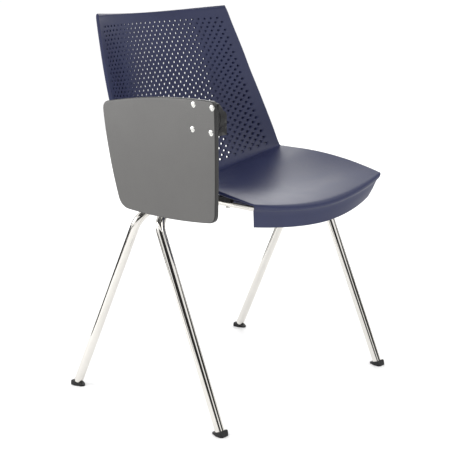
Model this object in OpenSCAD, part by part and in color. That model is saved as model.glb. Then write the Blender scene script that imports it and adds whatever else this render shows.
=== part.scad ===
// Student desk chair. A one-piece moulded shell sits on a chromed tube frame, and a
// writing tablet hangs folded on the sitter's right, on an arm with a flip hinge and
// a swivel. +Z is up, the chair faces -Y and the sitter's right is -X. Millimetres.
// The origin is on the floor, in the middle of the space the chair stands on.

/* [Shell] */
// Height of the seat pan's middle above the floor
seat_z = 452; // [449:1:456]
// Thickness of the moulded shell
shell_t = 4; // [3.5:0.5:5]
// Depth of the turned edge around the shell
rim_t = 7; // [6:1:10]

/* [Leg frames] */
// Outside diameter of the leg, cross and rail tubes
tube_d = 20; // [18:1:20]
// Wall of every tube
tube_wall = 2; // [1.5:0.5:3]
// Half the distance between the feet of one frame, on the tube axes
foot_x = 278; // [270:1:282]
// How far each leg leans in, per millimetre of height
lean_in = 0.02; // [0:0.005:0.02]
// Where the front legs' axes meet the floor
front_foot_y = -215; // [-222:1:-208]
// Where the rear legs' axes meet the floor
rear_foot_y = 221; // [214:1:228]
// Forward slope of the front legs, run over rise
front_slope = 0.435; // [0.42:0.005:0.44]
// Backward slope of the rear legs, run over rise
rear_slope = 0.475; // [0.46:0.005:0.48]
// Height of the cross tubes' axes
cross_z = 430; // [427:1:431]
// Bend radius of the leg frames, on the tube axis
bend_r = 42; // [36:1:46]

/* [Seat rails] */
// Half the distance between the two seat rails
rail_x = 150; // [148:1:156]
// Front end of the seat rails
rail_front_y = -200; // [-204:1:-190]
// Rear end of the seat rails
rail_rear_y = 60; // [52:1:62]
// Place of the front pair of shell screws along the rails
front_screw_y = -120; // [-124:1:-114]
// Place of the rear pair of shell screws along the rails
rear_screw_y = 38; // [34:1:42]

/* [Glides] */
// Width of a glide across the leg
glide_w = 24; // [23:1:26]
// Length of a glide's sole
glide_l = 34; // [33:1:38]
// Height of the leg's end above the floor, on its axis
glide_h = 9; // [9:1:11]

/* [Tablet] */
// Thickness of the writing board
board_t = 10; // [8:1:10]
// Outer face of the hanging board
board_x = -300; // [-301:1:-300]
// Distance between neighbouring board screws
screw_pitch = 48; // [44:1:50]
// Diameter of the bright screw heads
board_screw_head_d = 13; // [11:1:14]

/* [Hinge] */
// Fore-and-aft place of the swivel's axis
swivel_y = -186; // [-188:1:-185]
// Height of the swivel's axis and the flip pin
swivel_z = 647; // [645:1:650]
// Distance from the middle plane to the flip pin
flip_x = -252; // [-253:1:-252]
// Diameter of the round swivel housing
drum_d = 58; // [54:1:60]
// Diameter of the support arm's tube
arm_d = 22; // [20:1:22]

/* [Hidden] */

$fn = 48;
eps = 0.01;
screw_ys = [front_screw_y, rear_screw_y];
navy = [0.13, 0.14, 0.27];
chrome = [0.82, 0.82, 0.84];
black = [0.08, 0.08, 0.09];
board_grey = [0.36, 0.36, 0.37];
bright_steel = [0.85, 0.85, 0.83];

// ---------- Shell surface ----------
// Each station is one line across the shell, as its middle point, its right-hand edge and
// how it rises from one to the other: [middle y, middle z, edge x, edge y, edge z, power],
// with z measured from the seat pan. A power of 2 is a parabola, a lower one a sharper valley.
stations = [
    [-261, -48, 196, -230, -31, 1.8],
    [-262, -32, 204, -236.5, -12, 1.8],
    [-263, -17, 210.5, -241.5, 5, 1.8],
    [-267, -10, 215, -246.5, 13, 1.8],
    [-264, -2.5, 217, -247, 22, 1.8],
    [-250, 1.5, 219, -236, 25, 1.8],
    [-205, 5.5, 222.5, -200, 32, 1.8],
    [-150, 5, 224, -148, 41, 1.8],
    [-90, 2.5, 225, -90, 47.5, 1.75],
    [-30, -0.5, 229, -32, 49.5, 1.7],
    [35, -4.5, 240, 24, 47, 1.6],
    [100, -11, 248, 53, 45.3, 1.5],
    [132, -14, 250, 66, 45, 1.5],
    [153, -2, 249, 72, 54, 1.5],
    [176, 38, 246, 87, 89, 1.7],
    [193, 93, 240.5, 107, 136, 1.9],
    [204, 148, 235.5, 126, 179, 2],
    [214.5, 203, 230, 144, 220, 2],
    [228, 264, 223, 163.5, 270, 2],
    [246, 327, 212, 187, 330, 2],
    [253, 349, 207.5, 196, 355, 2],
    [256, 359.5, 205, 200, 365, 2],
    [256.5, 362.5, 202.5, 200.5, 368, 2]];
last_station = len(stations) - 1;
// First stations of the back and of the turned rim
back_station = 13;
side_rim_station = 6;
top_rim_station = last_station - 1.1;

// Catmull-Rom blend of four values
function blend(a, b, c, d, t) =
    0.5 * (2 * b + (c - a) * t + (2 * a - 5 * b + 4 * c - d) * t * t
        + (3 * b - a - 3 * c + d) * t * t * t);
function station(i) = stations[max(0, min(last_station, i))];
function line_at(s) =
    let (i = min(floor(s), last_station - 1), t = s - i)
    [for (k = [0 : 5]) blend(station(i - 1)[k], station(i)[k], station(i + 1)[k],
        station(i + 2)[k], t)];
// Point on the upper, front face: s runs from the skirt to the top, u from -1 to 1
function shell_point(s, u) =
    let (l = line_at(max(0, min(last_station, s))))
    [u * l[2], l[0] + (l[3] - l[0]) * u * u, seat_z + l[1] + (l[4] - l[1]) * pow(abs(u), l[5])];
function unit(v) = v / norm(v);
function shell_normal(s, u) =
    let (ds = 0.05, du = 0.01, s0 = max(0, s - ds), s1 = min(last_station, s + ds),
        u0 = max(-1, u - du), u1 = min(1, u + du))
    unit(cross(shell_point(s, u1) - shell_point(s, u0), shell_point(s1, u) - shell_point(s0, u)));
// The edge is turned back into a deeper rim along the sides and the top, and the back's
// wall thickens evenly towards its sides
function ease(t) = let (k = max(0, min(1, t))) k * k * (3 - 2 * k);
function wall_at(s, u) =
    let (edge = abs(u) > 0.985 && s > side_rim_station ? 1 : 0,
        top = s > top_rim_station ? 1 : 0,
        flank = ease((abs(u) - 0.6) / 0.25) * ease(s - back_station))
    shell_t + (rim_t - shell_t) * max(edge, top, flank);
function shell_back_point(s, u) = shell_point(s, u) - shell_normal(s, u) * wall_at(s, u);
// Height of the seat's upper face above the floor at a place on the pan
function pan_height(x, y) =
    let (s = [for (k = [50 : 115]) let (p = shell_point(k / 10, x / 235)) if (p[1] > y) k / 10][0])
    shell_point(s, x / line_at(s)[2])[2];

shell_rows = concat([for (k = [0 : 8]) k], [for (k = [17 : 2 * last_station - 2]) k / 2],
    [for (k = [0.7, 0.95, 1.3, 1.6, 2]) last_station - 2 + k]);
shell_cols = concat([-1, -0.98], [for (k = [-8 : 8]) k * 0.11], [0.98, 1]);

module shell_body() {
    rows = len(shell_rows);
    cols = len(shell_cols);
    front = [for (s = shell_rows) for (u = shell_cols) shell_point(s, u)];
    back = [for (s = shell_rows) for (u = shell_cols) shell_back_point(s, u)];
    n = rows * cols;
    faces_front = [for (i = [0 : rows - 2]) for (j = [0 : cols - 2])
        let (a = i * cols + j) each [[a, a + cols, a + 1], [a + 1, a + cols, a + cols + 1]]];
    faces_back = [for (f = faces_front) [f[2] + n, f[1] + n, f[0] + n]];
    faces_sides = [for (i = [0 : rows - 2])
        let (a = i * cols, b = a + cols - 1) each [[a, a + n, a + cols],
            [a + cols, a + n, a + cols + n], [b, b + cols, b + n], [b + cols, b + cols + n, b + n]]];
    faces_ends = [for (j = [0 : cols - 2])
        let (a = j, b = n - cols + j) each [[a, a + 1, a + n], [a + 1, a + n + 1, a + n],
            [b, b + n, b + 1], [b + 1, b + n, b + n + 1]]];
    polyhedron(concat(front, back), concat(faces_front, faces_back, faces_sides, faces_ends),
        convexity = 10);
}

// ---------- Shell and its fixings ----------
spacer_top_z = 462;
boss_d = 18;
screw_d = 5;
rail_z = cross_z + tube_d;

module shell() {
    color(navy)
    difference() {
        union() {
            shell_body();
            for (x = [-rail_x, rail_x], y = screw_ys)
                translate([x, y, spacer_top_z])
                    cylinder(d = boss_d, h = pan_height(abs(x) - boss_d / 2, y) - 2 - spacer_top_z);
        }
        for (x = [-rail_x, rail_x], y = screw_ys)
            translate([x, y, spacer_top_z - 1])
                cylinder(d = screw_d, h = 5);
    }
}

module shell_spacers() {
    spacer = [26, 34, 10];
    color(black)
    for (x = [-rail_x, rail_x], y = screw_ys)
        difference() {
            translate([x - spacer[0] / 2, y - spacer[1] / 2, spacer_top_z - spacer[2]])
                cube(spacer);
            translate([x, y - spacer[1], rail_z])
                rotate([-90, 0, 0])
                    cylinder(d = tube_d, h = 2 * spacer[1]);
            translate([x, y, rail_z])
                cylinder(d = screw_d + 0.5, h = spacer_top_z);
        }
}

module shell_screws() {
    head_d = 9.5;
    head_h = 3;
    below = rail_z - tube_d / 2;
    color(bright_steel)
    for (x = [-rail_x, rail_x], y = screw_ys) {
        translate([x, y, below - head_h])
            cylinder(d = head_d, h = head_h);
        translate([x, y, below - eps])
            cylinder(d = screw_d, h = spacer_top_z + 4 - below);
    }
}

// ---------- Tubes ----------
tube_sides = 32;
bend_steps = 10;

// A turn that carries the Z axis onto the direction d
module along(p, d) {
    translate(p)
        rotate([0, acos(d[2]), atan2(d[1], d[0])])
            children();
}

// Frames [centre, x, y] of the rings along a list of points, with every inner corner bent
// to radius r. turned() is the vector v turned by the angle a about the unit vector k.
function turned(v, k, a) = v * cos(a) + cross(k, v) * sin(a) + k * (k * v) * (1 - cos(a));
function rings_from(path, r, i, x, y) =
    let (d = unit(path[i + 1] - path[i]))
    i == len(path) - 2 ? [[path[i + 1], x, y]] :
    let (e = unit(path[i + 2] - path[i + 1]), k = unit(cross(d, e)), turn = acos(d * e),
        start = path[i + 1] - d * r * tan(turn / 2), centre = start + cross(k, d) * r)
    concat([for (j = [0 : bend_steps]) let (a = turn * j / bend_steps)
        [centre + turned(start - centre, k, a), turned(x, k, a), turned(y, k, a)]],
        rings_from(path, r, i + 1, turned(x, k, turn), turned(y, k, turn)));

// One bent tube: an outer and an inner wall of rings, closed by a flat ring at each end
module bent_tube(path, d, r) {
    dir = unit(path[1] - path[0]);
    y0 = unit(cross(dir, path[2] - path[1]));
    x0 = cross(y0, dir);
    rings = concat([[path[0], x0, y0]], rings_from(path, r, 0, x0, y0));
    m = len(rings);
    n = m * tube_sides;
    points = [for (radius = [d / 2, d / 2 - tube_wall]) for (f = rings)
        for (j = [0 : tube_sides - 1]) let (a = 360 * j / tube_sides)
            f[0] + radius * (f[1] * cos(a) + f[2] * sin(a))];
    quads = [for (i = [0 : m - 2]) for (j = [0 : tube_sides - 1])
        let (k = (j + 1) % tube_sides)
        [i * tube_sides + j, i * tube_sides + k, (i + 1) * tube_sides + k, (i + 1) * tube_sides + j]];
    outer = [for (q = quads) each [[q[0], q[2], q[1]], [q[0], q[3], q[2]]]];
    inner = [for (t = outer) [t[2] + n, t[1] + n, t[0] + n]];
    last = n - tube_sides;
    ends = [for (j = [0 : tube_sides - 1]) let (k = (j + 1) % tube_sides)
        each [[j, k, k + n], [j, k + n, j + n],
            [last + j, last + k + n, last + k], [last + j, last + j + n, last + k + n]]];
    polyhedron(points, concat(outer, inner, ends), convexity = 10);
}

// Point on a leg's axis, a height above the floor; side is 1 for the left and -1 for the right
function leg_point(side, foot_y, slope, z) =
    [side * (foot_x - lean_in * z), foot_y + slope * z, z];
// Direction up a leg, and where its tube ends just above the glide
function leg_dir(side, slope) = unit([-side * lean_in, slope, 1]);

module leg_frame(foot_y, slope) {
    bent_tube([leg_point(1, foot_y, slope, glide_h), leg_point(1, foot_y, slope, cross_z),
        leg_point(-1, foot_y, slope, cross_z), leg_point(-1, foot_y, slope, glide_h)],
        tube_d, bend_r);
}

module front_leg_frame() {
    color(chrome)
        leg_frame(front_foot_y, front_slope);
}

module rear_leg_frame() {
    color(chrome)
        leg_frame(rear_foot_y, -rear_slope);
}

module seat_rail(x) {
    color(chrome)
    difference() {
        translate([x, rail_front_y, rail_z])
            rotate([-90, 0, 0])
                cylinder(d = tube_d, h = rail_rear_y - rail_front_y);
        translate([x, rail_front_y - 1, rail_z])
            rotate([-90, 0, 0])
                cylinder(d = tube_d - 2 * tube_wall, h = rail_rear_y - rail_front_y + 2);
        for (y = screw_ys)
            translate([x, y, rail_z - tube_d])
                cylinder(d = screw_d + 0.5, h = 2 * tube_d);
    }
}

module seat_rail_right() seat_rail(-rail_x);
module seat_rail_left() seat_rail(rail_x);

// Plate welded between the two cross tubes under a rail
module gusset(x) {
    plate_t = 5;
    front_y = front_foot_y + front_slope * cross_z;
    rear_y = rear_foot_y - rear_slope * cross_z;
    color(chrome)
    difference() {
        translate([x - plate_t / 2, front_y, cross_z - 6])
            cube([plate_t, rear_y - front_y, tube_d / 2 + 6]);
        for (y = [front_y, rear_y])
            translate([x - plate_t, y, cross_z])
                rotate([0, 90, 0])
                    cylinder(d = tube_d, h = 2 * plate_t);
    }
}

module gusset_right() gusset(-rail_x);
module gusset_left() gusset(rail_x);

// Plastic plug with a flange and a spigot that fills a tube's end; it points along +Z
module tube_plug(d, spigot) {
    flange_t = 2;
    cylinder(d = d, h = flange_t);
    translate([0, 0, -spigot])
        cylinder(d = d - 2 * tube_wall, h = spigot + eps);
}

module rail_end_plugs() {
    color(black)
    for (x = [-rail_x, rail_x]) {
        translate([x, rail_front_y, rail_z])
            rotate([90, 0, 0])
                tube_plug(tube_d, 12);
        translate([x, rail_rear_y, rail_z])
            rotate([-90, 0, 0])
                tube_plug(tube_d, 12);
    }
}

// ---------- Glides ----------
// Wedge-shaped foot. Its sole is flat on the floor, its top is square to the leg, and its
// toe points under the chair. outward is the Y direction that its heel faces.
module glide(side, foot_y, slope) {
    outward = slope > 0 ? -1 : 1;
    steep = abs(slope);
    heel = 12;
    toe_h = 3;
    toe = heel - glide_l;
    top_at = function (y) glide_h + steep * y;
    profile = [[toe, 0], [heel, 0], [heel, 4], [heel - 6, top_at(heel - 6)], [toe, max(toe_h, top_at(toe))]];
    half = glide_w / 2;
    toe_r = 8;
    plan = concat([[half, heel - 4], [half - 4, heel], [4 - half, heel], [-half, heel - 4]],
        [[-half, -4]],
        [for (a = [180 : 15 : 360]) [toe_r * cos(a), toe + toe_r + toe_r * sin(a)]],
        [[half, -4]]);
    color(black)
    union() {
        translate([side * foot_x, foot_y, 0])
            intersection() {
                mirror([0, outward < 0 ? 1 : 0, 0])
                    linear_extrude(height = 2 * glide_h + 20)
                        polygon(plan);
                mirror([0, outward < 0 ? 1 : 0, 0])
                    translate([-half, 0, 0])
                        rotate([90, 0, 90])
                            linear_extrude(height = glide_w)
                                polygon(profile);
            }
        along(leg_point(side, foot_y, slope, glide_h) - leg_dir(side, slope) * 2,
            leg_dir(side, slope))
            cylinder(d = tube_d - 2 * tube_wall, h = 24);
    }
}

module glide_front_right() glide(-1, front_foot_y, front_slope);
module glide_front_left() glide(1, front_foot_y, front_slope);
module glide_rear_right() glide(-1, rear_foot_y, -rear_slope);
module glide_rear_left() glide(1, rear_foot_y, -rear_slope);

// ---------- Support arm ----------
arm_low_z = 442;
front_cross_y = front_foot_y + front_slope * cross_z;
socket_d = arm_d + 6;
// The socket lies against the front cross tube
arm_low_y = front_cross_y - sqrt(pow((tube_d + socket_d) / 2, 2) - pow(arm_low_z - cross_z, 2));
arm_x = -257;
arm_up_y = swivel_y + 16;
arm_knee_z = 560;
arm_top_z = 612;
socket_in_x = -163;
socket_out_x = -214;
arm_in_x = -164;
arm_path = [[arm_in_x, arm_low_y, arm_low_z], [arm_x, arm_low_y, arm_low_z],
    [arm_x, arm_up_y, arm_knee_z], [arm_x, arm_up_y, arm_top_z]];
grub_d = 6;

module arm_socket() {
    color(chrome)
    difference() {
        translate([socket_out_x, arm_low_y, arm_low_z])
            rotate([0, 90, 0])
                cylinder(d = socket_d, h = socket_in_x - socket_out_x);
        translate([socket_out_x - 1, arm_low_y, arm_low_z])
            rotate([0, 90, 0])
                cylinder(d = arm_d, h = socket_in_x - socket_out_x + 2);
        translate([socket_out_x + 15, arm_low_y, arm_low_z - socket_d])
            cylinder(d = grub_d, h = socket_d);
    }
}

module arm_socket_plug() {
    color(black)
    translate([socket_in_x, arm_low_y, arm_low_z])
        rotate([0, 90, 0])
            cylinder(d = socket_d, h = 2);
}

module support_arm() {
    color(black)
        bent_tube(arm_path, arm_d, 40);
}

// Grub screws that lock the arm in its socket and in its head
module arm_grub_screws() {
    color(bright_steel) {
        translate([socket_out_x + 15, arm_low_y, arm_low_z - socket_d / 2 - 0.5])
            cylinder(d = grub_d, h = (socket_d - arm_d) / 2 + 0.5);
        translate([arm_x + arm_d / 2, arm_up_y, arm_top_z - 11])
            rotate([0, 90, 0])
                cylinder(d = grub_d, h = 4);
    }
}

// ---------- Flip hinge ----------
pin_d = 8;
pin_gap = 0.1;
barrel_r = 11;
barrel_half = 12;
ear_out = 19;
// The fork sits a little behind the swivel's axis
fork_y = swivel_y + 8;
ear_gap = 0.3;
drum_in_x = -266;
head_top_z = swivel_z - 13;
head_x0 = -264;
head_x1 = flip_x + barrel_r;

module arm_head() {
    boss_r = arm_d / 2 + 4;
    color(black)
    difference() {
        union() {
            for (side = [-1, 1])
                translate([flip_x, fork_y + side * (barrel_half + ear_gap + ear_out) / 2,
                    swivel_z])
                    ear(ear_out - barrel_half - ear_gap);
            translate([head_x0, fork_y - ear_out, arm_top_z - 2])
                cube([head_x1 - head_x0, 2 * ear_out, head_top_z - arm_top_z + 2]);
            translate([arm_x, arm_up_y, arm_top_z - 22])
                cylinder(r = boss_r, h = 24);
        }
        translate([arm_x, arm_up_y, arm_top_z - 30])
            cylinder(d = arm_d, h = 30);
        translate([flip_x, fork_y - 2 * ear_out, swivel_z])
            rotate([-90, 0, 0])
                cylinder(d = pin_d, h = 4 * ear_out);
        translate([arm_x, arm_up_y, arm_top_z - 11])
            rotate([0, 90, 0])
                cylinder(d = grub_d, h = 2 * boss_r);
    }
}

// Round ear of the fork with a neck down to the head's block
module ear(w) {
    rotate([90, 0, 0])
        cylinder(r = barrel_r, h = w, center = true);
    translate([head_x0 - flip_x + 1, -w / 2, head_top_z - swivel_z - 1])
        cube([head_x1 - head_x0 - 1, w, swivel_z - head_top_z + 1]);
}

module flip_pin() {
    color(black) {
        translate([flip_x, fork_y - ear_out - 3, swivel_z])
            rotate([-90, 0, 0])
                cylinder(d = pin_d, h = 2 * ear_out + 7);
        translate([flip_x, fork_y - ear_out, swivel_z])
            rotate([90, 0, 0])
                cylinder(d = pin_d + 5, h = 3);
    }
}

module flip_pin_clip() {
    color(black)
    translate([flip_x, fork_y + ear_out, swivel_z])
        rotate([-90, 0, 0])
            difference() {
                cylinder(d = pin_d + 6, h = 1.2);
                translate([0, 0, -1])
                    cylinder(d = pin_d, h = 4);
            }
}

// ---------- Swivel ----------
drum_out_x = -279;
washer_t = 1;
face_gap = 0.3;
hub_x = drum_out_x - washer_t - face_gap;
plate_side = 64;
plate_t = 3;
board_in_x = board_x + board_t;
spindle_d = 10;
nut_t = 3.5;
nut_seat_x = board_in_x + 4;
stop_r = 20;
stop_d = 5;
stop_depth = 3;
swivel_travel = 180;

// The board leans back by this angle as it hangs
board_lean = 3;
board_screw_d = 5;
// Places [y, z] of the four board screws, on a square around the swivel
board_screw_places = [for (a = [45, 135, 225, 315])
    [swivel_y + screw_pitch / sqrt(2) * cos(a + board_lean),
     swivel_z + screw_pitch / sqrt(2) * sin(a + board_lean)]];

module at_swivel(x) {
    translate([x, swivel_y, swivel_z])
        rotate([0, 90, 0])
            children();
}

module swivel_housing() {
    color(black)
    difference() {
        union() {
            at_swivel(drum_out_x)
                cylinder(d = drum_d, h = drum_in_x - drum_out_x);
            translate([drum_in_x - eps, fork_y - barrel_half, swivel_z - barrel_r])
                cube([flip_x - drum_in_x, 2 * barrel_half, 2 * barrel_r]);
            translate([flip_x, fork_y, swivel_z])
                rotate([90, 0, 0])
                    cylinder(r = barrel_r, h = 2 * barrel_half, center = true);
        }
        translate([flip_x, fork_y - ear_out, swivel_z])
            rotate([-90, 0, 0])
                cylinder(d = pin_d + pin_gap, h = 2 * ear_out);
        at_swivel(drum_out_x - 1)
            cylinder(d = spindle_d, h = 12);
        translate([drum_out_x - 1, swivel_y, swivel_z + stop_r])
            rotate([0, 90, 0])
                cylinder(d = stop_d, h = 7);
    }
}

module swivel_spindle() {
    color(bright_steel)
        at_swivel(board_in_x + 0.3)
            cylinder(d = spindle_d, h = drum_out_x + 11 - board_in_x - 0.3);
}

module swivel_stop_pin() {
    color(bright_steel)
    translate([hub_x - stop_depth, swivel_y, swivel_z + stop_r])
        rotate([0, 90, 0])
            cylinder(d = stop_d, h = drum_out_x + 6 - hub_x + stop_depth);
}

module swivel_washer() {
    color(black)
    difference() {
        at_swivel(drum_out_x - washer_t)
            cylinder(d = drum_d - 6, h = washer_t);
        at_swivel(drum_out_x - 2 * washer_t)
            cylinder(d = spindle_d, h = 3 * washer_t);
        translate([drum_out_x - 2 * washer_t, swivel_y, swivel_z + stop_r])
            rotate([0, 90, 0])
                cylinder(d = stop_d, h = 3 * washer_t);
    }
}

module spindle_nut() {
    color(bright_steel)
    difference() {
        at_swivel(nut_seat_x - face_gap - nut_t)
            cylinder(d = 17, h = nut_t, $fn = 6);
        at_swivel(board_in_x)
            cylinder(d = spindle_d, h = 20);
    }
}

// Square plate behind the board with a round hub that turns on the spindle. The groove lets
// the stop pin travel half a turn. The board's lean is small, so the plate leans with it.
module swivel_plate() {
    color(black)
    difference() {
        union() {
            at_swivel(board_in_x)
                rotate([0, 0, board_lean])
                    translate([-plate_side / 2, -plate_side / 2, 0])
                        cube([plate_side, plate_side, plate_t]);
            at_swivel(board_in_x)
                cylinder(d = drum_d, h = hub_x - board_in_x);
        }
        at_swivel(board_in_x - 1)
            cylinder(d = 20, h = nut_seat_x - board_in_x + 1);
        at_swivel(board_in_x)
            cylinder(d = spindle_d + pin_gap, h = 20);
        stop_groove();
        for (p = board_screw_places)
            translate([board_in_x - 1, p[0], p[1]])
                rotate([0, 90, 0])
                    cylinder(d = board_screw_d, h = plate_t + 6);
    }
}

// The pin sits at the top of the groove with the board folded, and the groove passes it
// as the board turns up over the back: its other end lies half a turn ahead of the pin.
module stop_groove() {
    slack = 1.5;
    wide = stop_d + 1;
    reach = swivel_travel + 2 * slack;
    at_swivel(hub_x - stop_depth - 0.5)
        rotate([0, 0, 180 + slack])
            rotate([0, 0, -reach])
                rotate_extrude(angle = reach)
                    translate([stop_r - wide / 2, 0])
                        square([wide, stop_depth + 2]);
    for (a = [slack, slack - reach])
        at_swivel(hub_x - stop_depth - 0.5)
            rotate([0, 0, 180 + a])
                translate([stop_r, 0, 0])
                    cylinder(d = wide, h = stop_depth + 2);
}

// ---------- Writing board ----------
// Corners as [y, z] from the swivel's axis: top rear, top front, bottom front, bottom rear
board_corners = [[279, 8], [-32, 35], [-33, -201], [229, -206]];
// Corner rounding, and how far the edge after each corner bows outwards
board_rounding = [17, 12, 17, 22];
board_bow = [9, 2, 7, 7];

function edge_point(a, b, bow, t) =
    let (d = b - a, n = unit([d[1], -d[0]]))
    a + d * t + n * 4 * bow * t * (1 - t);
function board_edge(i, t) =
    edge_point(board_corners[i], board_corners[(i + 1) % 4], board_bow[i], t);
function edge_cut(i, r) = r / norm(board_corners[(i + 1) % 4] - board_corners[i]);
// One edge from just past its first corner to just before its second, then the round corner
function board_side(i) =
    let (r0 = board_rounding[i], r1 = board_rounding[(i + 1) % 4],
        t0 = edge_cut(i, r0), t1 = 1 - edge_cut(i, r1),
        a = board_edge(i, t1), c = board_corners[(i + 1) % 4],
        b = board_edge((i + 1) % 4, edge_cut((i + 1) % 4, r1)))
    concat([for (k = [0 : 8]) board_edge(i, t0 + (t1 - t0) * k / 8)],
        [for (k = [1 : 5]) let (t = k / 6) (1 - t) * (1 - t) * a + 2 * t * (1 - t) * c + t * t * b]);

module tablet_board() {
    head_h = 3.2;
    color(board_grey)
    difference() {
        translate([board_x, swivel_y, swivel_z])
            rotate([90, 0, 90])
                linear_extrude(height = board_t)
                    polygon([for (i = [0 : 3]) each board_side(i)]);
        for (p = board_screw_places)
            translate([board_x, p[0], p[1]])
                rotate([0, 90, 0]) {
                    translate([0, 0, -1])
                        cylinder(d = board_screw_d, h = board_t + 2);
                    translate([0, 0, -1])
                        cylinder(d = board_screw_head_d, h = 1 + head_h);
                }
    }
}

module tablet_screws() {
    head_h = 3.2;
    proud = 0.6;
    color(bright_steel)
    for (p = board_screw_places)
        translate([board_x, p[0], p[1]])
            rotate([0, 90, 0]) {
                translate([0, 0, -proud])
                    cylinder(d = board_screw_head_d, h = proud + head_h);
                cylinder(d = board_screw_d, h = board_t + plate_t);
            }
}

shell();
front_leg_frame();
rear_leg_frame();
seat_rail_right();
seat_rail_left();
gusset_right();
gusset_left();
rail_end_plugs();
glide_front_right();
glide_front_left();
glide_rear_right();
glide_rear_left();
shell_spacers();
shell_screws();
arm_socket();
arm_socket_plug();
support_arm();
arm_grub_screws();
arm_head();
flip_pin();
flip_pin_clip();
swivel_housing();
swivel_spindle();
swivel_stop_pin();
swivel_washer();
spindle_nut();
swivel_plate();
tablet_board();
tablet_screws();
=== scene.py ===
# %% [markdown]
# A student desk chair: a perforated, moulded shell on chrome-plated tube legs, with a
# folding writing tablet at the sitter's right. The frame of solid parts is loaded first
# and never moved. The pieces made here take the place of the plain solids, in the same
# place and size, with the roundings, holes and finishes that the plain solids lack.

# %% Load the frame
import math

import bmesh
import bpy
import numpy as np
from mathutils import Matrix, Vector


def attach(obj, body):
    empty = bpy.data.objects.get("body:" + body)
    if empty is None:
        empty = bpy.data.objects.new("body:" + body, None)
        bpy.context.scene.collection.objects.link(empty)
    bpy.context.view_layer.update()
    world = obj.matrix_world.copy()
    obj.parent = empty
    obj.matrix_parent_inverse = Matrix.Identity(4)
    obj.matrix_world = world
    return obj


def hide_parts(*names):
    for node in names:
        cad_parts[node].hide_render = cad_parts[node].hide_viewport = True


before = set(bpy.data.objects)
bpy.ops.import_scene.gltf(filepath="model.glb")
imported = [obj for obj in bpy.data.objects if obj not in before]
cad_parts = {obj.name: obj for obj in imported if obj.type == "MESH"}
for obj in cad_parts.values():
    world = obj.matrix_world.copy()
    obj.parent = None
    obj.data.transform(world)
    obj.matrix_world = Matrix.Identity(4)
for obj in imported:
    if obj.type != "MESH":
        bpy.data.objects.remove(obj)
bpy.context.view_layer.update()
MM = 0.001

# %% [markdown]
# The camera stands at the front right of the chair, low and far off with a long lens, so
# the upright lines stay nearly parallel. Its place is given, and two angles say where it
# looks: the azimuth turns it about the vertical and the elevation tilts it down by that angle.

# %% Camera
CAMERA_AZIMUTH = math.radians(-48.38)
CAMERA_ELEVATION = math.radians(13.61)
CAMERA_PLACE = (-1.98349, -1.74049, 0.99343)
LENS_MM, SENSOR_MM, CLIP_END = 96.92, 36.0, 200

camera_data = bpy.data.cameras.new("camera")
camera_data.lens, camera_data.sensor_width = LENS_MM, SENSOR_MM
camera_data.clip_end = CLIP_END
camera = bpy.data.objects.new("camera", camera_data)
camera.location = CAMERA_PLACE
camera.rotation_euler = (math.pi / 2 - CAMERA_ELEVATION, 0, CAMERA_AZIMUTH)
bpy.context.scene.collection.objects.link(camera)
bpy.context.scene.camera = camera
print("camera at", CAMERA_PLACE)


# %% [markdown]
# Every surface below is a grid of points worked out as whole arrays. A grid becomes a
# mesh by joining each point to its neighbours. The same few helpers serve all pieces: one
# makes a mesh object, one lists a grid's faces, one sweeps a ring along a path, and one
# turns a profile about an axis, as on a lathe.

# %% Mesh helpers
SHARP_ANGLE = math.radians(32)


def make_piece(name, points, faces, body, node=None, slot=None, sharp=SHARP_ANGLE):
    """A mesh object from points and faces, smooth apart from edges past the sharp angle.
    It rides on a body and can stand for one or more solids of the frame."""
    mesh = bpy.data.meshes.new(name)
    mesh.from_pydata(np.asarray(points).reshape(-1, 3).tolist(), [], faces)
    mesh.update()
    mesh.shade_smooth()
    mesh.set_sharp_from_angle(angle=sharp)
    piece = bpy.data.objects.new(name, mesh)
    bpy.context.scene.collection.objects.link(piece)
    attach(piece, body)
    if node:
        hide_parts(*([node] if isinstance(node, str) else node))
    print(name, len(mesh.vertices), "vertices")
    return piece


def grid_faces(rows, cols, start=0, around=False, flip=False):
    """Four-sided faces between the neighbours of a grid of rows and columns. With around,
    the last column joins the first, as on a tube."""
    i, j = np.meshgrid(np.arange(rows - 1), np.arange(cols if around else cols - 1), indexing="ij")
    k = (j + 1) % cols
    quads = np.stack([i * cols + j, i * cols + k, (i + 1) * cols + k, (i + 1) * cols + j], -1)
    quads = quads.reshape(-1, 4) + start
    return (quads[:, ::-1] if flip else quads).tolist()


def unit(v):
    """A vector, or a whole array of them, divided by its length."""
    v = np.asarray(v, float)
    return v / np.linalg.norm(v, axis=-1, keepdims=True)


def axes_about(axis):
    """An axis as a unit vector, and two more square to it and to each other."""
    w = unit(axis)
    u = unit(np.cross(w, [0.31, 0.52, 0.79]))
    return w, u, np.cross(w, u)


def lathe(profile, centre, axis, sides=48):
    """Points and faces of a profile turned about an axis. The profile lists (radius,
    height) from one pole to the other, and a point is centre + height along the axis +
    radius around it. A radius of zero closes a pole."""
    profile = np.asarray(profile, float)
    w, u, v = axes_about(axis)
    a = np.linspace(0, 2 * np.pi, sides, endpoint=False)
    ring = np.cos(a)[:, None] * u + np.sin(a)[:, None] * v
    points = centre + profile[:, 1, None, None] * w + profile[:, 0, None, None] * ring
    return points.reshape(-1, 3), grid_faces(len(profile), sides, around=True)


def merged(parts):
    """Joins several (points, faces) pairs into one, with the face numbers moved on."""
    points, faces, n = [], [], 0
    for p, f in parts:
        points.append(p)
        faces += [[k + n for k in face] for face in f]
        n += len(p)
    return np.concatenate(points), faces


# %% [markdown]
# Finishes first. An effect that several finishes share is a shader node group with named
# inputs: fine moulded grain, soft blotches, and a little dust that lies on what faces up.
# Each group only puts out a value, and each material mixes it in with its own amounts.

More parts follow.
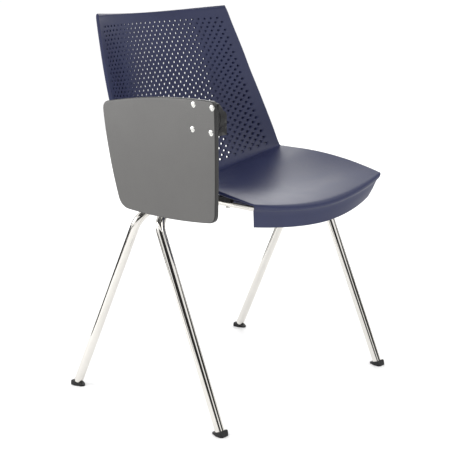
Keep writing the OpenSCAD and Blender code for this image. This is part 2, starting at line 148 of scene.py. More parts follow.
# %% Node helpers and shared effects
def add(tree, kind, **inputs):
    """Adds a node and fills the named input sockets with values or links."""
    node = tree.nodes.new(kind)
    for key, value in inputs.items():
        socket = node.inputs[key.replace("_", " ")]
        if isinstance(value, bpy.types.NodeSocket):
            tree.links.new(value, socket)
        else:
            socket.default_value = value
    return node


def math_node(tree, operation, a, b):
    """One Math node on two values or links."""
    node = tree.nodes.new("ShaderNodeMath")
    node.operation = operation
    for socket, value in zip(node.inputs, (a, b)):
        if isinstance(value, bpy.types.NodeSocket):
            tree.links.new(value, socket)
        else:
            socket.default_value = value
    return node.outputs[0]


def ramp(tree, fac, low, high, a=0.0, b=1.0):
    """A value that goes smoothly from a at low to b at high."""
    node = add(tree, "ShaderNodeMapRange", Value=fac, From_Min=low, From_Max=high, To_Min=a,
               To_Max=b)
    node.interpolation_type = "SMOOTHSTEP"
    return node.outputs[0]


def new_group(name, inputs, outputs):
    """An empty shader node group with its float sockets, and its input and output nodes."""
    group = bpy.data.node_groups.new(name, "ShaderNodeTree")
    group.interface.new_socket("Vector", in_out="INPUT", socket_type="NodeSocketVector")
    for key, value in inputs.items():
        s = group.interface.new_socket(key, in_out="INPUT", socket_type="NodeSocketFloat")
        s.default_value = value
    for key in outputs:
        group.interface.new_socket(key, in_out="OUTPUT", socket_type="NodeSocketFloat")
    return group, group.nodes.new("NodeGroupInput"), group.nodes.new("NodeGroupOutput")


def grain_group():
    """Fine pebbled grain of a mould: two sizes of noise, as a height from 0 to 1."""
    g, gin, gout = new_group("moulded grain", {"Scale": 900.0}, ["Height"])
    fine = add(g, "ShaderNodeTexNoise", Vector=gin.outputs["Vector"], Scale=gin.outputs["Scale"],
               Detail=2.0, Roughness=0.55)
    cells = add(g, "ShaderNodeTexVoronoi", Vector=gin.outputs["Vector"],
                Scale=math_node(g, "MULTIPLY", gin.outputs["Scale"], 0.7))
    height = math_node(g, "ADD", fine.outputs[0], math_node(g, "MULTIPLY", cells.outputs[0], 0.6))
    g.links.new(height, gout.inputs["Height"])
    return g


def blotch_group():
    """Slow uneven patches, as from handling and cleaning: broad noise stretched to 0..1."""
    g, gin, gout = new_group("soft blotches", {"Scale": 8.0}, ["Value"])
    n = add(g, "ShaderNodeTexNoise", Vector=gin.outputs["Vector"], Scale=gin.outputs["Scale"],
            Detail=5.0, Roughness=0.6, Distortion=0.4)
    g.links.new(ramp(g, n.outputs[0], 0.3, 0.7), gout.inputs["Value"])
    return g


def dust_group():
    """Thin dust: more on faces that look up, broken into specks by noise."""
    g, gin, gout = new_group("dust", {"Scale": 220.0, "Amount": 0.2}, ["Mask"])
    normal = add(g, "ShaderNodeNewGeometry").outputs["Normal"]
    up = add(g, "ShaderNodeSeparateXYZ", Vector=normal).outputs["Z"]
    specks = add(g, "ShaderNodeTexNoise", Vector=gin.outputs["Vector"],
                 Scale=gin.outputs["Scale"], Detail=6.0, Roughness=0.7)
    mask = math_node(g, "MULTIPLY", ramp(g, up, 0.2, 1.0), ramp(g, specks.outputs[0], 0.5, 0.72))
    g.links.new(math_node(g, "MULTIPLY", mask, gin.outputs["Amount"]), gout.inputs["Mask"])
    return g


def wear_group():
    """Rubbed edges: where the surface bends outwards sharply, broken up by noise."""
    g, gin, gout = new_group("edge wear", {"Scale": 90.0, "Amount": 1.0}, ["Mask"])
    bend = add(g, "ShaderNodeNewGeometry").outputs["Pointiness"]
    rub = add(g, "ShaderNodeTexNoise", Vector=gin.outputs["Vector"], Scale=gin.outputs["Scale"],
              Detail=4.0)
    mask = math_node(g, "MULTIPLY", ramp(g, bend, 0.52, 0.6), ramp(g, rub.outputs[0], 0.42, 0.6))
    g.links.new(math_node(g, "MULTIPLY", mask, gin.outputs["Amount"]), gout.inputs["Mask"])
    return g


def scratch_group():
    """Hair-fine scratches: noise stretched far along one direction and cut to thin lines."""
    g, gin, gout = new_group("fine scratches", {"Scale": 60.0}, ["Mask"])
    turn = add(g, "ShaderNodeMapping", Vector=gin.outputs["Vector"])
    turn.inputs["Rotation"].default_value = (0.3, 0.5, 0.7)
    turn.inputs["Scale"].default_value = (1.0, 14.0, 14.0)
    n = add(g, "ShaderNodeTexNoise", Vector=turn.outputs[0], Scale=gin.outputs["Scale"],
            Detail=3.0, Roughness=0.5)
    near = math_node(g, "ABSOLUTE", math_node(g, "SUBTRACT", n.outputs[0], 0.5), 0.0)
    g.links.new(ramp(g, near, 0.0, 0.012, 1.0, 0.0), gout.inputs["Mask"])
    return g


GRAIN, BLOTCH, DUST = grain_group(), blotch_group(), dust_group()
WEAR, SCRATCH = wear_group(), scratch_group()
print("shared effects:", [g.name for g in bpy.data.node_groups])


# %% [markdown]
# A material starts from one helper that makes the Principled shader and hands back its
# tree. Colours are given as linear values. Uniform settings, such as the metal's metallic
# value, sit on the shader itself, and only what varies over the surface comes from nodes.

# %% Material helpers
GRAIN_DEPTH, PEEL_DEPTH, WAVE_DEPTH = 0.0002, 0.0004, 0.0005
DUST_COLOUR = (0.30, 0.29, 0.27)


def start_material(name, **settings):
    """A material with a Principled shader, its uniform settings, and Object coordinates."""
    material = bpy.data.materials.new(name)
    material.use_nodes = True
    tree = material.node_tree
    shader = tree.nodes["Principled BSDF"]
    for key, value in settings.items():
        shader.inputs[key.replace("_", " ")].default_value = value
    place = tree.nodes.new("ShaderNodeTexCoord").outputs["Object"]
    return material, tree, shader, place


def use_group(tree, group, place, **inputs):
    """Adds a shared effect, fed with the place and its own amounts, and gives its value."""
    node = tree.nodes.new("ShaderNodeGroup")
    node.node_tree = group
    tree.links.new(place, node.inputs["Vector"])
    for key, value in inputs.items():
        node.inputs[key].default_value = value
    return node.outputs[0]


def mix_colour(tree, fac, a, b):
    """Colour a where fac is 0 and colour b where it is 1."""
    node = tree.nodes.new("ShaderNodeMix")
    node.data_type = "RGBA"
    tree.links.new(fac, node.inputs["Factor"])
    for key, value in (("A", a), ("B", b)):
        socket = [s for s in node.inputs if s.name == key and s.type == "RGBA"][0]
        if isinstance(value, bpy.types.NodeSocket):
            tree.links.new(value, socket)
        else:
            socket.default_value = (*value, 1.0)
    return [s for s in node.outputs if s.type == "RGBA"][0]


def set_bump(tree, shader, height, strength, distance):
    """Lets a height from 0 to 1 bend the shading normal, over a depth in metres."""
    bump = add(tree, "ShaderNodeBump", Height=height, Strength=strength, Distance=distance)
    tree.links.new(bump.outputs[0], shader.inputs["Normal"])


def plastic(name, dark, light, rough, grain_scale, bump, dust=0.25, specular=0.5):
    """Moulded plastic: two close tones in blotches, fine grain, dust and rubbed edges."""
    material, tree, shader, place = start_material(name, Specular_IOR_Level=specular)
    blotch = use_group(tree, BLOTCH, place, Scale=9.0)
    colour = mix_colour(tree, blotch, dark, light)
    wear = use_group(tree, WEAR, place, Amount=0.35)
    worn = tuple(min(1.0, c * 1.7 + 0.01) for c in light)
    colour = mix_colour(tree, wear, colour, worn)
    mask = use_group(tree, DUST, place, Amount=dust)
    colour = mix_colour(tree, mask, colour, DUST_COLOUR)
    tree.links.new(colour, shader.inputs["Base Color"])
    grain = use_group(tree, GRAIN, place, Scale=grain_scale)
    scratch = use_group(tree, SCRATCH, place, Scale=50.0)
    uneven = math_node(tree, "ADD", math_node(tree, "MULTIPLY", blotch, 0.05),
                       math_node(tree, "MULTIPLY", scratch, 0.05))
    uneven = math_node(tree, "ADD", uneven, math_node(tree, "MULTIPLY", mask, 0.5))
    tree.links.new(math_node(tree, "ADD", uneven, rough), shader.inputs["Roughness"])
    set_bump(tree, shader, grain, bump, GRAIN_DEPTH)
    return material


def metal(name, colour, rough, smudge, bump=0.03):
    """Bright metal: roughness that varies with smudges and hair-fine scratches."""
    material, tree, shader, place = start_material(name, Metallic=1.0)
    blotch = use_group(tree, BLOTCH, place, Scale=14.0)
    scratch = use_group(tree, SCRATCH, place, Scale=80.0)
    tint = tuple(c * 0.94 for c in colour)
    tree.links.new(mix_colour(tree, blotch, colour, tint), shader.inputs["Base Color"])
    uneven = math_node(tree, "ADD", math_node(tree, "MULTIPLY", blotch, smudge),
                       math_node(tree, "MULTIPLY", scratch, smudge))
    tree.links.new(math_node(tree, "ADD", uneven, rough), shader.inputs["Roughness"])
    wave = add(tree, "ShaderNodeTexNoise", Vector=place, Scale=35.0, Detail=1.0).outputs[0]
    set_bump(tree, shader, wave, bump, WAVE_DEPTH)
    return material


# %% [markdown]
# The real finishes: a satin navy polypropylene, bright chrome plate, black nylon, black
# powder coat with its orange-peel skin, zinc-plated hardware, and a grey compact laminate
# whose sawn edge is nearly black.

# %% Materials
BLACK_SPECULAR = 0.22

NAVY = plastic("navy_polypropylene", (0.015, 0.019, 0.062), (0.019, 0.025, 0.074), 0.42, 1500.0,
               0.25, dust=0.08, specular=0.36)
NYLON = plastic("black_nylon", (0.012, 0.012, 0.013), (0.018, 0.018, 0.019), 0.42, 1800.0, 0.3,
                specular=BLACK_SPECULAR)
CHROME = metal("chrome_plate", (0.76, 0.74, 0.70), 0.03, 0.03)
ZINC = metal("zinc_plate", (0.80, 0.80, 0.77), 0.22, 0.10, bump=0.1)


def powder_coat():
    """Black powder coat: an orange-peel skin from two sizes of noise, rubbed at the edges."""
    material, tree, shader, place = start_material("black_powder_coat",
                                                   Specular_IOR_Level=BLACK_SPECULAR)
    blotch = use_group(tree, BLOTCH, place, Scale=12.0)
    colour = mix_colour(tree, blotch, (0.011, 0.011, 0.012), (0.018, 0.018, 0.019))
    wear = use_group(tree, WEAR, place, Amount=0.5)
    colour = mix_colour(tree, wear, colour, (0.09, 0.09, 0.09))
    tree.links.new(colour, shader.inputs["Base Color"])
    peel = add(tree, "ShaderNodeTexNoise", Vector=place, Scale=700.0, Detail=2.0).outputs[0]
    tree.links.new(ramp(tree, blotch, 0.0, 1.0, 0.34, 0.44), shader.inputs["Roughness"])
    set_bump(tree, shader, peel, 0.35, PEEL_DEPTH)
    return material


def laminate():
    """Grey compact laminate: fine specks in two tones, a leather-fine emboss, scratches."""
    material, tree, shader, place = start_material("grey_laminate")
    specks = add(tree, "ShaderNodeTexNoise", Vector=place, Scale=1400.0, Detail=3.0,
                 Roughness=0.7).outputs[0]
    blotch = use_group(tree, BLOTCH, place, Scale=7.0)
    colour = mix_colour(tree, ramp(tree, specks, 0.4, 0.6), (0.096, 0.094, 0.091),
                        (0.124, 0.122, 0.118))
    colour = mix_colour(tree, math_node(tree, "MULTIPLY", blotch, 0.35), colour,
                        (0.086, 0.084, 0.082))
    scratch = use_group(tree, SCRATCH, place, Scale=24.0)
    colour = mix_colour(tree, math_node(tree, "MULTIPLY", scratch, 0.12), colour,
                        (0.30, 0.30, 0.295))
    tree.links.new(colour, shader.inputs["Base Color"])
    grain = use_group(tree, GRAIN, place, Scale=1100.0)
    tree.links.new(ramp(tree, blotch, 0.0, 1.0, 0.40, 0.48), shader.inputs["Roughness"])
    set_bump(tree, shader, grain, 0.35, GRAIN_DEPTH)
    return material


POWDER, LAMINATE = powder_coat(), laminate()
BOARD_EDGE = plastic("laminate_edge", (0.012, 0.012, 0.012), (0.022, 0.022, 0.022), 0.35, 900.0,
                     0.2)
print("materials:", [m.name for m in bpy.data.materials])


def finish(piece, *materials):
    """Gives a piece its materials, in slot order."""
    piece.data.materials.clear()
    for material in materials:
        piece.data.materials.append(material)
    return piece


# %% [markdown]
# The shell is one moulding, and one formula gives its front face: lines across the chair,
# called stations, blended into each other by Catmull-Rom curves. Each line dips towards its
# middle as |u| to a power, where u runs from -1 at the sitter's right to 1 at the left. The
# solid part was built on the same stations, so the two agree in place and size.

# %% Shell surface
STATIONS = np.array([
    [-261, -48, 196, -230, -31, 1.8], [-262, -32, 204, -236.5, -12, 1.8],
    [-263, -17, 210.5, -241.5, 5, 1.8], [-267, -10, 215, -246.5, 13, 1.8],
    [-264, -2.5, 217, -247, 22, 1.8], [-250, 1.5, 219, -236, 25, 1.8],
    [-205, 5.5, 222.5, -200, 32, 1.8], [-150, 5, 224, -148, 41, 1.8],
    [-90, 2.5, 225, -90, 47.5, 1.75], [-30, -0.5, 229, -32, 49.5, 1.7],
    [35, -4.5, 240, 24, 47, 1.6], [100, -11, 248, 53, 45.3, 1.5],
    [132, -14, 250, 66, 45, 1.5], [153, -2, 249, 72, 54, 1.5], [176, 38, 246, 87, 89, 1.7],
    [193, 93, 240.5, 107, 136, 1.9], [204, 148, 235.5, 126, 179, 2],
    [214.5, 203, 230, 144, 220, 2], [228, 264, 223, 163.5, 270, 2],
    [246, 327, 212, 187, 330, 2], [253, 349, 207.5, 196, 355, 2],
    [256, 359.5, 205, 200, 365, 2], [256.5, 362.5, 202.5, 200.5, 368, 2]])
SEAT_Z, SHELL_T, RIM_T = 452.0, 4.0, 7.0
TOP_S = len(STATIONS) - 1.0


def line_at(s):
    """The station values at s: the Catmull-Rom blend of the four stations around s."""
    s = np.clip(s, 0, TOP_S)
    i = np.minimum(np.floor(s), TOP_S - 1).astype(int)
    t = (s - i)[..., None]
    a, b, c, d = (STATIONS[np.clip(i + k, 0, int(TOP_S))] for k in (-1, 0, 1, 2))
    return 0.5 * (2 * b + (c - a) * t + (2 * a - 5 * b + 4 * c - d) * t ** 2
                  + (3 * b - a - 3 * c + d) * t ** 3)


def shell_point(s, u):
    """A point of the front face: x = u times the half width, and y and z go from the
    middle's values to the edge's as u squared and as |u| to the station's power."""
    v = line_at(s)
    return np.stack([u * v[..., 2], v[..., 0] + (v[..., 3] - v[..., 0]) * u ** 2,
                     SEAT_Z + v[..., 1] + (v[..., 4] - v[..., 1]) * np.abs(u) ** v[..., 5]], -1)


def shell_slopes(s, u, ds=0.03, du=0.006):
    """How the front face runs, in mm, per unit of u and per unit of s."""
    u0, u1 = np.maximum(u - du, -1), np.minimum(u + du, 1)
    s0, s1 = np.maximum(s - ds, 0), np.minimum(s + ds, TOP_S)
    across = (shell_point(s, u1) - shell_point(s, u0)) / (u1 - u0)[..., None]
    along = (shell_point(s1, u) - shell_point(s0, u)) / (s1 - s0)[..., None]
    return across, along


def ease(t):
    """0 below 0, 1 above 1, and a smooth S between."""
    t = np.clip(t, 0, 1)
    return t * t * (3 - 2 * t)


fine_s = np.linspace(0, TOP_S, 4401)
middle = shell_point(fine_s, np.zeros_like(fine_s))
arc = np.concatenate([[0], np.cumsum(np.linalg.norm(np.diff(middle, axis=0), axis=1))])


def s_below_top(distance):
    """The s that lies this far below the top edge, measured along the middle line."""
    return np.interp(arc[-1] - distance, arc, fine_s)


print("middle line from skirt to top: %.0f mm" % arc[-1])


# %% [markdown]
# The wall is 4 mm. It grows to 7 mm in a rim beside the edge and over the flanks of the back,
# and both corners of the edge are rounded. The distance to the nearest edge decides how far a
# point is set back from the ideal surface, like the quarter circle of a fillet.

# %% Wall and rounded lip
LIP_R, THIN_R = 1.4, 1.5
LIP_DEPTH, LIP_FADE = 3.2, 2
RIM_FROM_S, FLANK_FROM_S = 5.5, 13
FLANK_FROM_U, FLANK_FADE = 0.6, 0.25


def wall_and_drop(s, u):
    """The wall's thickness and the set-back of its corners, both in mm, at s and u."""
    edge = np.linalg.norm(shell_slopes(s, np.sign(u) + (u == 0))[0], axis=-1)
    side = (1 - np.abs(u)) * edge
    length = np.interp(s, fine_s, arc)
    top = arc[-1] - length
    deep = ease(s - RIM_FROM_S)
    near = deep * (1 - ease((np.minimum(side, top) - LIP_DEPTH) / LIP_FADE))
    flank = ease((np.abs(u) - FLANK_FROM_U) / FLANK_FADE) * ease(s - FLANK_FROM_S)
    wall = SHELL_T + (RIM_T - SHELL_T) * np.maximum(near, flank)
    r = THIN_R + (LIP_R - THIN_R) * deep
    gap = np.clip(r - np.minimum(np.minimum(side, top), length), 0, r)
    return wall, r - np.sqrt(np.maximum(r ** 2 - gap ** 2, 0))


def shell_layer(s, u, depth):
    """Points set back from the front face by a depth in mm, in metres."""
    across, along = shell_slopes(s, u)
    return (shell_point(s, u) - unit(np.cross(across, along)) * np.asarray(depth)[..., None]) * MM


# %% [markdown]
# Nearly a thousand small holes cover the back. They sit like bricks in a wall: every
# second place of a row, each row shifted by one place. So the mesh is laid as bricks too.
# Each brick has six outline points and a ring of twelve points around its hole, joined by
# six five-sided faces, and neighbouring bricks share their outline points. In the middle
# the holes go right through; towards the thick flanks they are blind pockets. A mould's pins
# are parallel, so the holes run straight back and not square to the curved face. A limit on
# the slant keeps the ones on the steepest parts from running into each other.

# %% Rows and columns of the shell's grid
HOLE_ROWS, ROW_PITCH, FIRST_ROW = 38, 9.5, 25.0
COLUMN_STEP, LAST_COLUMN = 0.0359, 26
OPEN_UNTIL = 0.58
STRIP_STEP, STRIP_END = 2.5, 6.5

zone_top = FIRST_ROW - ROW_PITCH / 2
zone_s = s_below_top(zone_top + ROW_PITCH * np.arange(HOLE_ROWS, -1, -1))
lip_steps = np.array([0, 0.1, 0.35, 0.75, 1.25, 1.75, 2.2, 3.2, 4.2, 5.2])
seat_s = np.concatenate([np.interp(lip_steps[:8], arc, fine_s), np.linspace(
    0.3, zone_s[0], int(8 * zone_s[0]), endpoint=False)])
strip = np.arange(zone_top - STRIP_STEP, STRIP_END, -STRIP_STEP)
top_s = s_below_top(np.concatenate([strip, lip_steps[::-1]]))
row_s = np.concatenate([seat_s, zone_s, top_s])
first = len(seat_s)

half_edge = np.linalg.norm(shell_slopes(row_s, np.ones_like(row_s))[0], axis=-1)
side_steps = np.concatenate([lip_steps, [8.0, 11.5]])
right = 1 - side_steps[::-1] / half_edge[:, None]
middle_u = COLUMN_STEP * np.arange(-LAST_COLUMN, LAST_COLUMN + 1)
U = np.concatenate([-right[:, ::-1], np.tile(middle_u, (len(row_s), 1)), right], 1)
S = np.repeat(row_s[:, None], U.shape[1], 1)
middle_column = len(side_steps) + LAST_COLUMN
wall, drop = wall_and_drop(S, U)
front, back = shell_layer(S, U, drop), shell_layer(S, U, wall - drop)
print("grid:", S.shape, "rows and columns")


# %% [markdown]
# Next the bricks. All the holes are worked out together as arrays, first the ring on the
# front, then a small chamfer, the wall of the hole, and the ring on the back. A blind hole
# ends in a flat floor instead, and the back behind it stays closed.

# %% Bricks, holes and the closed edge
RING, CHAMFER, FLOOR = 12, 0.35, 1.6
SMALL_R, MORE_R = 2.75, 0.95
MAX_SLANT, TAPER_FROM = 0.8, 0.3

rows, cols = S.shape
row_k, col_j = np.meshgrid(np.arange(HOLE_ROWS), np.arange(1 - LAST_COLUMN, LAST_COLUMN),
                           indexing="ij")
is_hole = (HOLE_ROWS - 1 - row_k + col_j) % 2 == 0
hole_k, hole_j = row_k[is_hole], col_j[is_hole]
hole_s = (zone_s[hole_k] + zone_s[hole_k + 1]) / 2
hole_u = hole_j * COLUMN_STEP
through = np.abs(hole_u) < OPEN_UNTIL
every = np.ones_like(through)
radius = SMALL_R + MORE_R * (1 - hole_k / (HOLE_ROWS - 1))
turn = np.arange(RING) * 2 * np.pi / RING
across, along = shell_slopes(hole_s, hole_u)
slope_u, slope_s = (np.linalg.norm(v, axis=-1) for v in (across, along))
facing = unit(np.cross(across, along))
# The slant is the drift along the face, per mm of depth, of a line that runs along Y.
slant = np.array([0, 1, 0]) / -facing[:, 1:2] + facing
slant *= np.minimum(1, MAX_SLANT / np.linalg.norm(slant, axis=1, keepdims=True))
slant_u = (slant * across).sum(1) / slope_u ** 2
slant_s = (slant * along).sum(1) / slope_s ** 2


def hole_ring(r, depth_share, inset):
    """A ring of points around every hole: radius r, at a share of the wall's depth plus
    an inset in mm."""
    s = hole_s[:, None] + r[:, None] * np.sin(turn) / slope_s[:, None]
    u = hole_u[:, None] + r[:, None] * np.cos(turn) / slope_u[:, None]
    depth = depth_share * wall_and_drop(s, u)[0] + inset
    return shell_layer(s + slant_s[:, None] * depth, u + slant_u[:, None] * depth, depth)


# The back end of an open hole is narrower, the more so the nearer it is to the flanks.
outwards = np.clip((np.abs(hole_u) - TAPER_FROM) / (OPEN_UNTIL - TAPER_FROM), 0, 1)
taper = 0.97 - 0.3 * outwards
narrow = radius * np.where(through, taper, 0.9)
rings = [hole_ring(radius + CHAMFER, 0, 0), hole_ring(radius, 0, CHAMFER),
         hole_ring(narrow, 1, np.where(through, -CHAMFER, -FLOOR)[:, None]),
         hole_ring(narrow + CHAMFER, 1, 0)]
n_grid, n_ring = rows * cols, len(hole_s) * RING
ring_at = [2 * n_grid + k * n_ring + np.arange(n_ring).reshape(-1, RING) for k in range(4)]
low = (first + hole_k) * cols + middle_column + hole_j
outline = np.stack([low + 1, low + cols + 1, low + cols, low + cols - 1, low - 1, low], 1)

fives, hexes, quads = [], [], []
for k in range(6):
    a, b = outline[:, k], outline[:, (k + 1) % 6]
    around = [(2 * k + step) % RING for step in (1, 0, -1)]
    fives.append(np.stack([a, b] + [ring_at[0][:, c] for c in around], 1))
    fives.append(np.stack([a + n_grid, b + n_grid] + [ring_at[3][:, c] for c in around],
                          1)[through][:, ::-1])
hexes.append((outline + n_grid)[~through][:, ::-1])
for upper, lower, chosen in ((0, 1, every), (1, 2, every), (2, 3, through)):
    for k in range(RING):
        m = (k + 1) % RING
        quads.append(np.stack([ring_at[upper][:, k], ring_at[upper][:, m],
                               ring_at[lower][:, m], ring_at[lower][:, k]], 1)[chosen])
floors = ring_at[2][~through]

i, j = np.meshgrid(np.arange(rows - 1), np.arange(cols - 1), indexing="ij")
from_middle = np.abs(j + 0.5 - middle_column)
in_zone = (i >= first) & (i < first + HOLE_ROWS) & (from_middle < LAST_COLUMN)
left_over = in_zone & ((i - first + HOLE_ROWS - 1) % 2 == 0) & (from_middle > LAST_COLUMN - 1)
plain = ~in_zone | left_over
corner = (i * cols + j)[plain]
sheet_quads = np.stack([corner, corner + 1, corner + cols + 1, corner + cols], 1)
border = np.concatenate([np.arange(cols), np.arange(2, rows) * cols - 1,
                         n_grid - 1 - np.arange(cols), np.arange(rows - 2, 0, -1) * cols])
after = np.roll(border, -1)
quads += [sheet_quads, sheet_quads[:, ::-1] + n_grid,
          np.stack([after, border, border + n_grid, after + n_grid], 1)]

shell_points = np.concatenate([front.reshape(-1, 3), back.reshape(-1, 3)]
                              + [r.reshape(-1, 3) for r in rings])
shell_faces = sum((np.concatenate(g).tolist() for g in (quads, fives, hexes)), [])
shell_faces += floors.tolist()
shell = make_piece("perforated_shell", shell_points, shell_faces, "frame", "shell", "shell",
                   sharp=math.radians(40))
finish(shell, NAVY)
print("holes:", len(hole_s), "of them open:", int(through.sum()))


# %% [markdown]
# The tubes were bent on a mandrel, so a bend keeps the round section. Each tube is a ring
# of points carried along straight runs and circular bends. The ring turns with the bend,
# about the same line, so it never twists.

# %% Bent tubes
TUBE_SIDES, BEND_STEPS = 56, 20
TUBE_R, BEND_R = 10.0, 42.0
ARM_R, ARM_BEND_R = 11.0, 40.0
FOOT_X, LEAN, FOOT_TOP_Z, CROSS_Z = 278, 0.02, 8.5, 430
RAIL_X, RAIL_FRONT_Y, RAIL_Z, RAIL_LENGTH, RAIL_CHAMFER = 150, -200, 450, 260, 0.4


def turned(v, k, a):
    """Vector v turned by the angles a about the unit vector k: Rodrigues' formula."""
    a = np.asarray(a)[:, None]
    return v * np.cos(a) + np.cross(k, v) * np.sin(a) + k * (k @ v) * (1 - np.cos(a))


def bent_tube(path, radius, bend, sides=TUBE_SIDES):
    """Points and faces of a closed tube along a path, its corners bent to one radius."""
    path = np.asarray(path, float)
    d = unit(path[1] - path[0])
    y = unit(np.cross(d, [0.2, 0.3, 0.9]))
    x = np.cross(y, d)
    centres, xs, ys = [path[:1]], [x[None]], [y[None]]
    for a, b, c in zip(path, path[1:], path[2:]):
        d, e = unit(b - a), unit(c - b)
        k, angle = unit(np.cross(d, e)), math.acos(float(d @ e))
        start = b - d * bend * math.tan(angle / 2)
        hub = start + np.cross(k, d) * bend
        t = np.linspace(0, angle, BEND_STEPS + 1)
        centres.append(hub + turned(start - hub, k, t))
        xs.append(turned(x, k, t))
        ys.append(turned(y, k, t))
        x, y = xs[-1][-1], ys[-1][-1]
    centres.append(path[-1:])
    xs.append(x[None])
    ys.append(y[None])
    c, x, y = (np.concatenate(v)[:, None] for v in (centres, xs, ys))
    a = np.linspace(0, 2 * np.pi, sides, endpoint=False)[None, :, None]
    points = (c + radius * (x * np.cos(a) + y * np.sin(a))).reshape(-1, 3) * MM
    faces = grid_faces(len(c), sides, around=True)
    last = len(points) - sides
    return points, faces + [list(range(sides))[::-1], list(range(last, last + sides))]


def leg_point(side, foot_y, slope, z):
    """A point on a leg's axis, z above the floor: the legs lean in by 2 % of the height."""
    return [side * (FOOT_X - LEAN * z), foot_y + slope * z, z]


def leg_frame(name, foot_y, slope):
    """A pair of legs and the cross tube between them, bent from one length of tube."""
    path = [leg_point(side, foot_y, slope, z) for side, z in
            ((1, FOOT_TOP_Z), (1, CROSS_Z), (-1, CROSS_Z), (-1, FOOT_TOP_Z))]
    piece = make_piece(name + "_tube", *bent_tube(path, TUBE_R, BEND_R), "frame", name,
                       "chrome_tube")
    return finish(piece, CHROME)


leg_frame("front_leg_frame", -215, 0.435)
leg_frame("rear_leg_frame", 221, -0.475)
for name, x in (("seat_rail_right", -RAIL_X), ("seat_rail_left", RAIL_X)):
    end_r, far = TUBE_R - RAIL_CHAMFER, RAIL_LENGTH - RAIL_CHAMFER
    profile = [[0, 0], [end_r, 0], [TUBE_R, RAIL_CHAMFER], [TUBE_R, far], [end_r, RAIL_LENGTH],
               [0, RAIL_LENGTH]]
    start = np.array([x, RAIL_FRONT_Y, RAIL_Z]) * MM
    points, faces = lathe(np.array(profile) * MM, start, [0, 1, 0])
    finish(make_piece(name + "_tube", points, faces, "frame", name, "chrome_tube"), CHROME)

ARM_PATH = [[-164, -48.7, 442], [-257, -48.7, 442], [-257, -170, 560], [-257, -170, 612]]
arm = make_piece("tablet_arm_tube", *bent_tube(ARM_PATH, ARM_R, ARM_BEND_R), "frame",
                 "support_arm", "black_metal")
finish(arm, POWDER)


# %% [markdown]
# Weld beads hold the rails on the two cross tubes, and the arm's socket on the front one.
# A bead is a thin ring whose thickness pulses, as the welder's torch moved in steps.

# %% Weld beads
RIPPLES, RIPPLE_DEPTH = 34, 0.16


def weld_ring(centre, axis, radius, thick):
    """Points and faces of a torus with ripples: the small radius pulses around the ring."""
    w, u, v = axes_about(axis)
    a = np.linspace(0, 2 * np.pi, 6 * RIPPLES, endpoint=False)[:, None]
    b = np.linspace(0, 2 * np.pi, 10, endpoint=False)[None, :]
    r = thick * (1 + RIPPLE_DEPTH * np.cos(RIPPLES * a))
    out = radius + r * np.cos(b)
    points = (np.asarray(centre, float) + (out * np.cos(a))[..., None] * u
              + (out * np.sin(a))[..., None] * v + (r * np.sin(b))[..., None] * w)
    rows, cols = points.shape[:2]
    i, j = np.meshgrid(np.arange(rows), np.arange(cols), indexing="ij")
    i2, j2 = (i + 1) % rows, (j + 1) % cols
    faces = np.stack([i * cols + j, i2 * cols + j, i2 * cols + j2, i * cols + j2], -1)
    return points.reshape(-1, 3) * MM, faces.reshape(-1, 4).tolist()


CROSS_Y = (-27.95, 16.75)
_, ARM_LOW_Y, ARM_LOW_Z = ARM_PATH[0]
SOCKET_R, SADDLE_R, SADDLE_Z = 14.2, 6.0, 440.5
welds = [weld_ring([x, ARM_LOW_Y, ARM_LOW_Z], [1, 0, 0], SOCKET_R, 1.2) for x in (-213, -164)]
finish(make_piece("socket_welds", *merged(welds), "frame", slot="chrome_tube"), CHROME)
saddles = [weld_ring([x, y, SADDLE_Z], [0, 0, 1], SADDLE_R, 1.5)
           for x in (-RAIL_X, RAIL_X) for y in CROSS_Y]
finish(make_piece("rail_welds", *merged(saddles), "frame", slot="chrome_tube"), CHROME)


# %% [markdown]
# The bosses are short round pillars moulded under the seat, one over each screw. Their
# tops run into the pan, and a small fillet at the foot keeps the mould from tearing.

# %% Bosses under the seat
BOSS_R, BOSS_Z = 9, 462
PAN_FROM_S, PAN_TO_S = 5, 12


def pan_underside(x, y):
    """The height in mm of the pan's underside at a place: the seat lines are sampled
    finely, and the nearest sample gives the height."""
    s = np.linspace(PAN_FROM_S, PAN_TO_S, 701)
    p = shell_point(s, x / line_at(s)[:, 2])
    return float(p[np.argmin(np.abs(p[:, 1] - y)), 2]) - SHELL_T


bosses = []
for x in (-RAIL_X, RAIL_X):
    for y in (-120, 38):
        h = pan_underside(abs(x) - BOSS_R, y) - BOSS_Z
        profile = [[0, 0], [BOSS_R - 0.8, 0], [BOSS_R, 0.8], [BOSS_R, h - 3],
                   [BOSS_R + 0.6, h - 1], [BOSS_R + 2, h + 0.5], [BOSS_R, h + 1.5], [0, h + 1.5]]
        bosses.append(lathe(np.array(profile) * MM, np.array([x, y, BOSS_Z]) * MM, [0, 0, 1], 40))
finish(make_piece("shell_bosses", *merged(bosses), "frame", slot="shell"), NAVY)


# %% [markdown]
# The tablet board is a compact laminate panel with slightly bowed edges and round corners.
# Its outline is walked once, and rings of that outline, stepped inwards and sideways, make
# the rounded edge. The printed sheet is grey and the core is nearly black.

# %% Tablet board
SWIVEL = np.array([-186.0, 647.0])
CORNERS = np.array([[279.0, 8], [-32, 35], [-33, -201], [229, -206]])
ROUNDING, BOW = [17, 12, 17, 22], [9, 2, 7, 7]
BOARD_OUT, BOARD_T = -300.0, 10.0


def edge_at(i, t):
    """A point of edge i: straight from corner to corner plus a bow of 4 h t (1 - t)."""
    a, b = CORNERS[i], CORNERS[(i + 1) % 4]
    d = b - a
    t = np.asarray(t, float)[..., None]
    return a + d * t + unit([d[1], -d[0]]) * 4 * BOW[i] * t * (1 - t)


